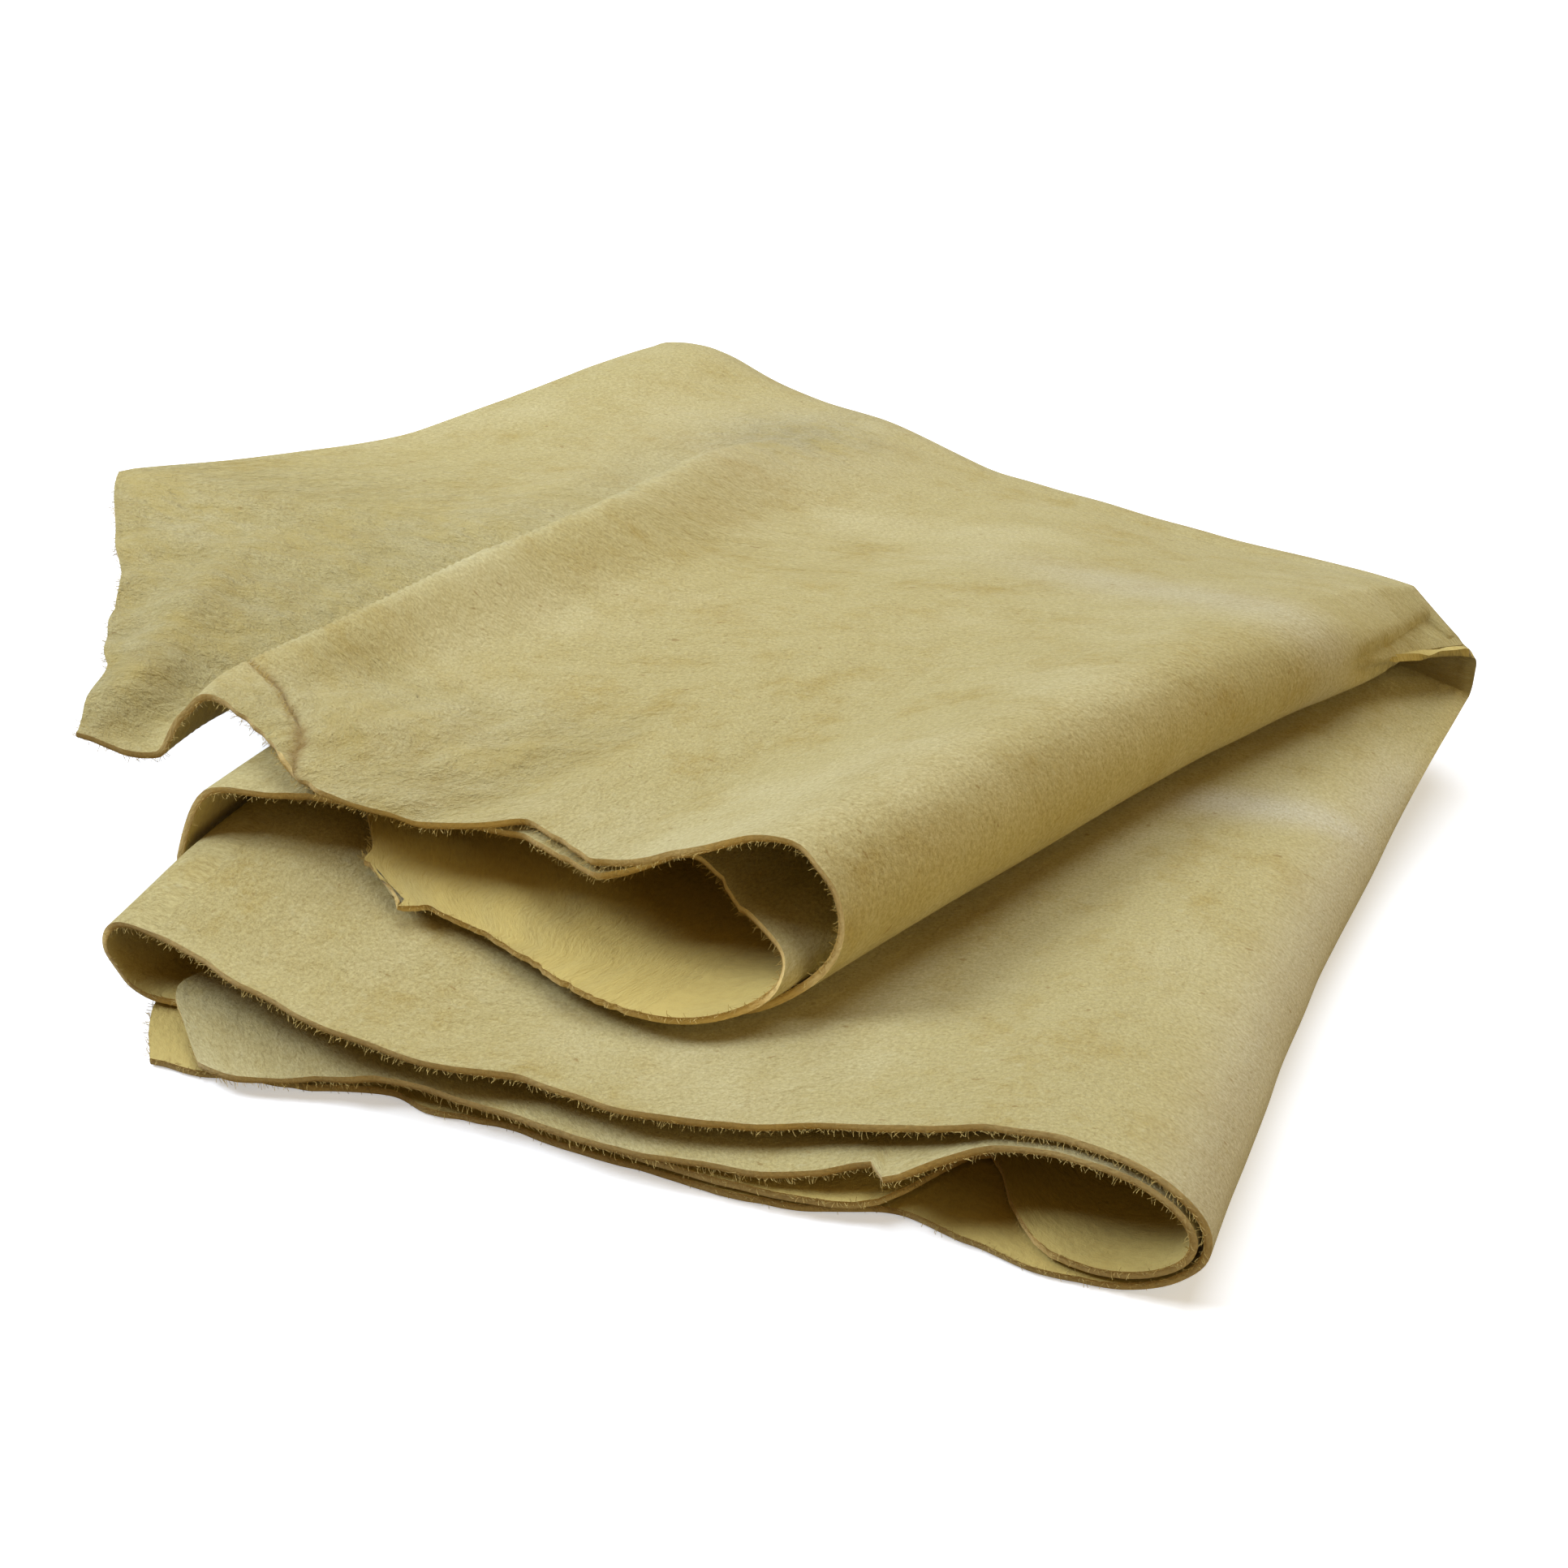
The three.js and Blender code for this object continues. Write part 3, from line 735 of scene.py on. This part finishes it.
@functools.lru_cache(maxsize=1)
def suede_finish():
    """Brushed outside of the hide: tufted nap with painted shade in its hollows and painted light on its
    hairs, warm and pale patches, bleached bands with a painted highlight on the lower roll, scattered pores,
    wrinkles with painted shade in their hollows, the scar.
    """
    desk = NodeDesk("suede_side")
    bleached_and_highlight, scarred, creased = desk.parts("hide_wear")
    warm = desk.ramp(desk.noise((75, 95, 1), 6, 0.75), 0.46, 0.7)
    pale = desk.ramp(desk.noise((22, 28, 1), 5, 0.6), 0.45, 0.68)
    colour = desk.blend(warm, tint("suede"), tint("warm"))
    colour = desk.blend(pale, colour, tint("pale"))
    # Bleached bands, and a painted highlight along the outside of the lower roll
    colour = desk.blend(bleached_and_highlight, colour, tint("bleached_and_highlight"))
    nap = desk.noise((1600, 2200, 1), 6, 0.85)
    # Painted shade and light of the nap: darker and warmer in its hollows, lighter on its raised hairs
    nap_hollow_shade, nap_tip_light = (0.72, 0.64, 0.5, 1), (1.16, 1.16, 1.16, 1)
    nap_light_and_shade = desk.blend(desk.ramp(nap, 0.3, 0.68), nap_hollow_shade, nap_tip_light)
    colour = desk.blend(1.0, colour, nap_light_and_shade, "MULTIPLY")
    flock = desk.noise((520, 860, 1), 5, 0.7)
    colour = desk.stain(desk.ramp(flock, 0.54, 0.7), colour, 0.5, tint("pale"))
    pores = desk.ramp(desk.noise((420, 900, 1), 2, 0.5), 0.69, 0.75)
    colour = desk.stain(pores, colour, 0.6, tint("shade"))
    wrinkles = desk.noise((125, 220, 1), 6, 0.68)
    # Painted shade: the hollows of the wrinkles take the darker warm colour in the creased patches
    wrinkle_shade = desk.math("MULTIPLY", creased, desk.ramp(wrinkles, 0.54, 0.36))
    colour = desk.stain(wrinkle_shade, colour, 0.7, tint("warm"))
    golden = desk.ramp(desk.noise((60, 85, 1), 5, 0.7), 0.44, 0.66)
    colour = desk.stain(desk.math("MULTIPLY", creased, golden), colour, 0.75, tint("grain"))
    colour = desk.stain(scarred, colour, 0.9, tint("shade"))
    rolling = desk.bump(desk.noise((110, 150, 1), 5, 0.65), 0.0028, 0.45)
    wrinkled = desk.math("MULTIPLY", creased, desk.math("SUBTRACT", wrinkles, 0.5))
    rolling = desk.bump(wrinkled, 0.006, 0.75, rolling)
    rolling = desk.bump(flock, 0.0008, 0.4, rolling)
    return desk.coat(
        Base_Color=colour, Roughness=0.95, Specular_IOR_Level=0.12,
        Sheen_Weight=0.2, Sheen_Roughness=0.6, Sheen_Tint=(1, 0.95, 0.82, 1),
        Normal=desk.bump(nap, 0.0006, 0.55, rolling),
    )


@functools.lru_cache(maxsize=1)
def grain_finish():
    """Smoother inside of the hide, with fine crepe-like creases."""
    desk = NodeDesk("grain_side")
    patches = desk.ramp(desk.noise((30, 36, 1), 4, 0.6), 0.42, 0.7)
    colour = desk.blend(patches, tint("grain"), tint("warm"))
    crepe = desk.noise((800, 1000, 1), 4, 0.65)
    colour = desk.blend(desk.ramp(crepe, 0.3, 0.6), desk.blend(0.2, colour, tint("shade")), colour)
    creases = desk.bump(desk.noise((130, 260, 1), 4, 0.6), 0.001, 0.4)
    return desk.coat(
        Base_Color=colour, Roughness=0.72, Specular_IOR_Level=0.3, Sheen_Weight=0.1,
        Normal=desk.bump(crepe, 0.0005, 0.55, creases),
    )


@functools.lru_cache(maxsize=1)
def edge_finish():
    """Raw cut edge: pale fibres, darker towards the grain side except at the loose end of the flap."""
    desk = NodeDesk("cut_edge")
    grainward = desk.parts("hide_place")[2]
    creased = desk.parts("hide_wear")[2]
    fibres = desk.noise((1400, 1400, 3), 3, 0.7)
    colour = desk.blend(desk.ramp(grainward, 0.35, 1.0), tint("edge"), tint("rim"))
    colour = desk.blend(creased, colour, tint("edge"))
    colour = desk.blend(desk.ramp(fibres, 0.3, 0.6), desk.blend(0.3, colour, tint("shade")), colour)
    return desk.coat(
        Base_Color=colour, Roughness=0.95, Specular_IOR_Level=0.1, Sheen_Weight=0.15,
        Normal=desk.bump(fibres, 0.0004, 0.6),
    )


@functools.lru_cache(maxsize=1)
def fibre_finish():
    """Loose fibres of the cut edges."""
    desk = NodeDesk("edge_fibre")
    spot = desk.add("ShaderNodeTexCoord").outputs["Object"]
    tone = desk.add("ShaderNodeTexNoise", Scale=900.0, Vector=spot).outputs["Fac"]
    colour = desk.blend(tone, tint("edge"), tint("warm"))
    return desk.coat(Base_Color=colour, Roughness=0.9, Specular_IOR_Level=0.1)


def cut_line(part):
    """The grain side of one half's cut edge: a line of points, each with its way out of the leather."""
    first, last = ROWS[part]
    points, across, _, _ = (layer[first:last] for layer in hide_grid())
    if part == "lower":
        points, across = points[::-1], across[::-1]
    line = np.concatenate([points[:, 0], points[-1, 1:-1], points[::-1, -1]])
    inner = np.concatenate([points[:, 1], points[-2, 1:-1], points[::-1, -2]])
    away = line - inner
    lift = np.concatenate([across[:, 0], across[-1, 1:-1], across[::-1, -1]])
    away = away / np.linalg.norm(away, axis=-1, keepdims=True)
    return line + FIBRE_ROOT * lift, away + FIBRE_RISE * lift


def fibre_tree():
    """Sets short curved fibres along a line, pointing away from the leather with a random lean and length."""
    tree = bpy.data.node_groups.new("edge_fibres", "GeometryNodeTree")
    sockets = {
        "Line": "Geometry", "Spacing": "Float", "Length": "Float", "Width": "Float",
        "Lean": "Float", "Seed": "Int", "Finish": "Material",
    }
    for name, kind in sockets.items():
        tree.interface.new_socket(name, in_out="INPUT", socket_type="NodeSocket" + kind)
    tree.interface.new_socket("Fibres", in_out="OUTPUT", socket_type="NodeSocketGeometry")
    link = tree.links.new

    def node(kind, **settings):
        made = tree.nodes.new(kind)
        for key, value in settings.items():
            setattr(made, key, value)
        return made

    given, result = node("NodeGroupInput"), node("NodeGroupOutput")
    curve = node("GeometryNodeMeshToCurve")
    spread = node("GeometryNodeResampleCurve", mode="LENGTH")
    link(given.outputs["Line"], curve.inputs["Mesh"])
    link(curve.outputs["Curve"], spread.inputs["Curve"])
    link(given.outputs["Spacing"], spread.inputs["Length"])
    strand = node("GeometryNodeCurveQuadraticBezier")
    ring = node("GeometryNodeCurvePrimitiveCircle")
    solid = node("GeometryNodeCurveToMesh")
    strand.inputs["Resolution"].default_value = 3
    strand.inputs["Start"].default_value = (0, 0, -0.3)
    strand.inputs["Middle"].default_value = (0, 0, 0.5)
    strand.inputs["End"].default_value = (0.35, 0, 0.95)
    ring.inputs["Resolution"].default_value = 3
    link(given.outputs["Width"], ring.inputs["Radius"])
    link(strand.outputs["Curve"], solid.inputs["Curve"])
    link(ring.outputs["Curve"], solid.inputs["Profile Curve"])
    away = node("GeometryNodeInputNamedAttribute", data_type="FLOAT_VECTOR")
    aim = node("FunctionNodeAlignRotationToVector", axis="Z")
    away.inputs["Name"].default_value = "away"
    link(away.outputs["Attribute"], aim.inputs["Vector"])
    lean = node("FunctionNodeRandomValue", data_type="FLOAT_VECTOR")
    low = node("ShaderNodeMath", operation="MULTIPLY")
    tilt = node("FunctionNodeEulerToRotation")
    turned = node("FunctionNodeRotateRotation", rotation_space="LOCAL")
    low.inputs[1].default_value = -1
    link(given.outputs["Lean"], low.inputs[0])
    link(low.outputs[0], lean.inputs["Min"])
    link(given.outputs["Lean"], lean.inputs["Max"])
    link(given.outputs["Seed"], lean.inputs["Seed"])
    link(lean.outputs["Value"], tilt.inputs["Euler"])
    link(aim.outputs["Rotation"], turned.inputs["Rotation"])
    link(tilt.outputs["Rotation"], turned.inputs["Rotate By"])
    size = node("FunctionNodeRandomValue", data_type="FLOAT")
    scale = node("ShaderNodeMath", operation="MULTIPLY")
    size.inputs[2].default_value = 0.35
    size.inputs[3].default_value = 1
    link(given.outputs["Seed"], size.inputs["Seed"])
    link(size.outputs[1], scale.inputs[0])
    link(given.outputs["Length"], scale.inputs[1])
    place = node("GeometryNodeInstanceOnPoints")
    real = node("GeometryNodeRealizeInstances")
    painted = node("GeometryNodeSetMaterial")
    link(spread.outputs["Curve"], place.inputs["Points"])
    link(solid.outputs["Mesh"], place.inputs["Instance"])
    link(turned.outputs["Rotation"], place.inputs["Rotation"])
    link(scale.outputs[0], place.inputs["Scale"])
    link(place.outputs["Instances"], real.inputs["Geometry"])
    link(real.outputs["Geometry"], painted.inputs["Geometry"])
    link(given.outputs["Finish"], painted.inputs["Material"])
    link(painted.outputs["Geometry"], result.inputs["Fibres"])
    return tree


def scar_line():
    """The scar in the flap as a line of points on the brushed side, each with a direction out of it."""
    b = np.linspace(0.835, 0.95, 60)
    w = through(UPPER.scar, b) + 1.2
    line = np.column_stack([UPPER.plan(w, b), UPPER.height("outer", w, b) + 0.5])
    return line, np.tile([0.7, 0.2, 0.5], (len(b), 1))


def fibre_mesh(name, part, tree, settings):
    """Plain mesh of the fibres along one half's cut edge and its scar."""
    line, away = cut_line(part)
    path = bpy.data.meshes.new(name + "_line")
    count = len(line)
    links = [(i, i + 1) for i in range(count - 1)]
    if part == "upper":
        scar, out = scar_line()
        links += [(count + i, count + i + 1) for i in range(len(scar) - 1)]
        line, away = np.concatenate([line, scar]), np.concatenate([away, out])
    path.from_pydata((line / MM_PER_M).tolist(), links, [])
    note_on_points(path, "away", away)
    holder = bpy.data.objects.new(name + "_line", path)
    bpy.context.scene.collection.objects.link(holder)
    maker = holder.modifiers.new("fibres", "NODES")
    maker.node_group = tree
    sockets = {item.name: item.identifier for item in tree.interface.items_tree if item.in_out == "INPUT"}
    for key, value in settings.items():
        maker[sockets[key]] = value
    bpy.context.view_layer.update()
    grown = holder.evaluated_get(bpy.context.evaluated_depsgraph_get())
    mesh = bpy.data.meshes.new_from_object(grown)
    mesh.name = name
    for vertex in mesh.vertices:
        vertex.co.z = max(vertex.co.z, 0)
    bpy.data.objects.remove(holder)
    return mesh


class ChamoisHide(bpy.types.PropertyGroup):
    thickness: bpy.props.FloatProperty(
        name="Thickness", description="Thickness of the leather", default=0.0012, unit="LENGTH"
    )
    fibre_spacing: bpy.props.FloatProperty(
        name="Fibre Spacing", description="Distance between the loose fibres of a cut edge",
        default=0.00025, unit="LENGTH",
    )
    fibre_length: bpy.props.FloatProperty(
        name="Fibre Length", description="Longest loose fibre of a cut edge", default=0.0013, unit="LENGTH"
    )
    fibre_lean: bpy.props.FloatProperty(
        name="Fibre Lean", description="How far the loose fibres lean at most", default=0.9, subtype="ANGLE"
    )


class ChamoisFinish(bpy.types.PropertyGroup):
    suede: bpy.props.FloatVectorProperty(
        name="Suede", description="Main colour of the brushed side",
        default=(0.52, 0.442, 0.192), subtype="COLOR", size=3,
    )
    # Warm patches of the brushed side; the same colour is the painted shade in the flap's wrinkles
    warm: bpy.props.FloatVectorProperty(
        name="Warm", description="Warm patches of the brushed side",
        default=(0.455, 0.352, 0.112), subtype="COLOR", size=3,
    )
    pale: bpy.props.FloatVectorProperty(
        name="Pale", description="Pale patches and tufts of the brushed side",
        default=(0.58, 0.508, 0.255), subtype="COLOR", size=3,
    )
    # Whitish bands of the brushed side, and the painted highlight along the outside of the lower roll
    bleached_and_highlight: bpy.props.FloatVectorProperty(
        name="BleachedAndHighlight", description="Whitish bands of the brushed side",
        default=(0.61, 0.56, 0.39), subtype="COLOR", size=3,
    )
    shade: bpy.props.FloatVectorProperty(
        name="Shade", description="Shade between the fibres",
        default=(0.3, 0.18, 0.04), subtype="COLOR", size=3,
    )
    grain: bpy.props.FloatVectorProperty(
        name="Grain", description="Main colour of the smooth side and of the flap's golden patches",
        default=(0.53, 0.402, 0.115), subtype="COLOR", size=3,
    )
    edge: bpy.props.FloatVectorProperty(
        name="Edge", description="Pale colour of the cut edge",
        default=(0.74, 0.54, 0.2), subtype="COLOR", size=3,
    )
    rim: bpy.props.FloatVectorProperty(
        name="Rim", description="Darker colour of the cut edge",
        default=(0.5, 0.31, 0.08), subtype="COLOR", size=3,
    )


class ChamoisStage(bpy.types.PropertyGroup):
    lens: bpy.props.FloatProperty(name="Lens", description="Focal length in millimetres", default=55)
    distance: bpy.props.FloatProperty(
        name="Distance", description="Camera's distance from its target", default=0.38, unit="LENGTH"
    )
    elevation: bpy.props.FloatProperty(
        name="Elevation", description="Camera's angle above the floor",
        default=math.radians(32), subtype="ANGLE",
    )
    target: bpy.props.FloatVectorProperty(
        name="Target", description="Point that the camera looks at", default=(0.0005, -0.0306, 0.02),
        subtype="TRANSLATION", size=3
    )


class CHAMOIS_OT_lower_half(bpy.types.Operator):
    """Makes the lower half of the folded hide"""

    bl_idname = "chamois.lower_half"
    bl_label = "Lower Half"

    def execute(self, context):
        piece = add_leather("lower")
        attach(piece, "lower_half")
        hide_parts(*[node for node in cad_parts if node.startswith("lower_")])
        return {"FINISHED"}


class CHAMOIS_OT_upper_half(bpy.types.Operator):
    """Makes the upper half of the folded hide with its loose flap"""

    bl_idname = "chamois.upper_half"
    bl_label = "Upper Half"

    def execute(self, context):
        piece = add_leather("upper")
        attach(piece, "upper_half")
        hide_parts(*[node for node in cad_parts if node.startswith("upper_")])
        return {"FINISHED"}


class CHAMOIS_OT_back_fold(bpy.types.Operator):
    """Makes the bend that joins the two halves of the hide"""

    bl_idname = "chamois.back_fold"
    bl_label = "Back Fold"

    def execute(self, context):
        piece = add_leather("back")
        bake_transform(piece, "lower_half", "upper_half", start=(0, 0, TURN_START), end=(0, 0, TURN_END))
        share_out_turn(piece)
        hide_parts(*[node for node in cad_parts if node.startswith("back_fold_")])
        return {"FINISHED"}


class CHAMOIS_OT_edge_fibres(bpy.types.Operator):
    """Sets loose fibres along the cut edges of both halves"""

    bl_idname = "chamois.edge_fibres"
    bl_label = "Edge Fibres"

    def execute(self, context):
        hide = context.scene.chamois_hide
        tree = fibre_tree()
        for seed, part in enumerate(("lower", "upper")):
            settings = {
                "Spacing": hide.fibre_spacing,
                "Length": hide.fibre_length,
                "Width": FIBRE_RADIUS,
                "Lean": hide.fibre_lean,
                "Seed": seed,
                "Finish": fibre_finish(),
            }
            name = "fibres_" + part
            fibres = add_piece(name, fibre_mesh(name, part, tree, settings))
            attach(fibres, part + "_half")
        return {"FINISHED"}


class CHAMOIS_OT_stage(bpy.types.Operator):
    """Makes the camera, the floor, the lamps and the room's light"""

    bl_idname = "chamois.stage"
    bl_label = "Stage"

    def execute(self, context):
        stage = context.scene.chamois_stage
        camera = bpy.data.objects.new("camera", bpy.data.cameras.new("camera"))
        context.scene.collection.objects.link(camera)
        camera.data.lens = stage.lens
        camera.data.sensor_width = 36
        camera.data.clip_start = 0.01
        away = Vector((0, -math.cos(stage.elevation), math.sin(stage.elevation)))
        camera.location = Vector(stage.target) + away * stage.distance
        camera.rotation_euler = (math.pi / 2 - stage.elevation, 0, 0)
        context.scene.camera = camera
        self.floor(context)
        self.lamps(context)
        self.room(context)
        context.scene.view_settings.view_transform = "Standard"
        return {"FINISHED"}

    def floor(self, context):
        mesh = bpy.data.meshes.new("floor")
        corners = [(-1, -1), (1, -1), (1, 1), (-1, 1)]
        points = [(x * FLOOR_REACH, y * FLOOR_REACH, FLOOR_LEVEL) for x, y in corners]
        mesh.from_pydata(points, [], [(0, 1, 2, 3)])
        floor = bpy.data.objects.new("floor", mesh)
        context.scene.collection.objects.link(floor)
        desk = NodeDesk("white_floor")
        seen = desk.add("ShaderNodeLightPath").outputs["Is Camera Ray"]
        far = desk.add("ShaderNodeVectorMath", {"operation": "LENGTH"})
        desk.feed(far.inputs[0], desk.add("ShaderNodeTexCoord").outputs["Object"])
        glow = desk.add(
            "ShaderNodeMapRange", {"interpolation_type": "SMOOTHSTEP"}, Value=far.outputs["Value"],
            From_Min=0.3, From_Max=1.2, To_Min=0.44, To_Max=1,
        )
        mesh.materials.append(desk.coat(
            Base_Color=desk.blend(seen, FLOOR_BOUNCE, FLOOR_WHITE), Roughness=1, Specular_IOR_Level=0,
            Emission_Color=WHITE, Emission_Strength=desk.math("MULTIPLY", glow.outputs[0], seen),
        ))

    def lamps(self, context):
        for name, place, size, power, lamp_tint in LAMPS:
            light = bpy.data.lights.new(name, "AREA")
            light.energy = power
            light.color = lamp_tint
            light.size = size
            lamp = bpy.data.objects.new(name, light)
            lamp.location = place
            lamp.rotation_euler = (LAMP_TARGET - Vector(place)).to_track_quat("-Z", "Y").to_euler()
            context.scene.collection.objects.link(lamp)

    def room(self, context):
        world = bpy.data.worlds.new("soft_room")
        context.scene.world = world
        world.use_nodes = True
        tree = world.node_tree
        background = tree.nodes["Background"]
        seen = tree.nodes.new("ShaderNodeLightPath").outputs["Is Camera Ray"]
        tone = tree.nodes.new("ShaderNodeMix")
        tone.data_type = "RGBA"
        tone.inputs[MIX_FIRST].default_value = ROOM_TINT
        tone.inputs[MIX_SECOND].default_value = WHITE
        tree.links.new(seen, tone.inputs["Factor"])
        tree.links.new(tone.outputs[MIX_RESULT], background.inputs["Color"])
        level = tree.nodes.new("ShaderNodeMapRange")
        level.inputs["To Min"].default_value = ROOM_LEVEL
        level.inputs["To Max"].default_value = 1.0
        tree.links.new(seen, level.inputs["Value"])
        tree.links.new(level.outputs[0], background.inputs["Strength"])


class CHAMOIS_PT_panel(bpy.types.Panel):
    """Lists the steps that make the folded leather"""

    bl_idname = "CHAMOIS_PT_panel"
    bl_label = "Chamois"
    bl_space_type = "VIEW_3D"
    bl_region_type = "UI"
    bl_category = "Chamois"

    def draw(self, context):
        for group in (context.scene.chamois_hide, context.scene.chamois_finish, context.scene.chamois_stage):
            for key in group.__annotations__:
                self.layout.prop(group, key)
        for step in STEPS:
            self.layout.operator(step.bl_idname)


GROUPS = {"chamois_hide": ChamoisHide, "chamois_finish": ChamoisFinish, "chamois_stage": ChamoisStage}
STEPS = (
    CHAMOIS_OT_edge_fibres,
    CHAMOIS_OT_lower_half,
    CHAMOIS_OT_upper_half,
    CHAMOIS_OT_back_fold,
    CHAMOIS_OT_stage,
)


def register():
    for kind in (*GROUPS.values(), *STEPS, CHAMOIS_PT_panel):
        bpy.utils.register_class(kind)
    for name, group in GROUPS.items():
        setattr(bpy.types.Scene, name, bpy.props.PointerProperty(type=group))


def unregister():
    for name in GROUPS:
        delattr(bpy.types.Scene, name)
    for kind in (CHAMOIS_PT_panel, *reversed(STEPS), *GROUPS.values()):
        bpy.utils.unregister_class(kind)


def main():
    register()
    bpy.ops.chamois.edge_fibres()
    bpy.ops.chamois.lower_half()
    bpy.ops.chamois.upper_half()
    bpy.ops.chamois.back_fold()
    bpy.ops.chamois.stage()


if __name__ == "__main__":
    main()
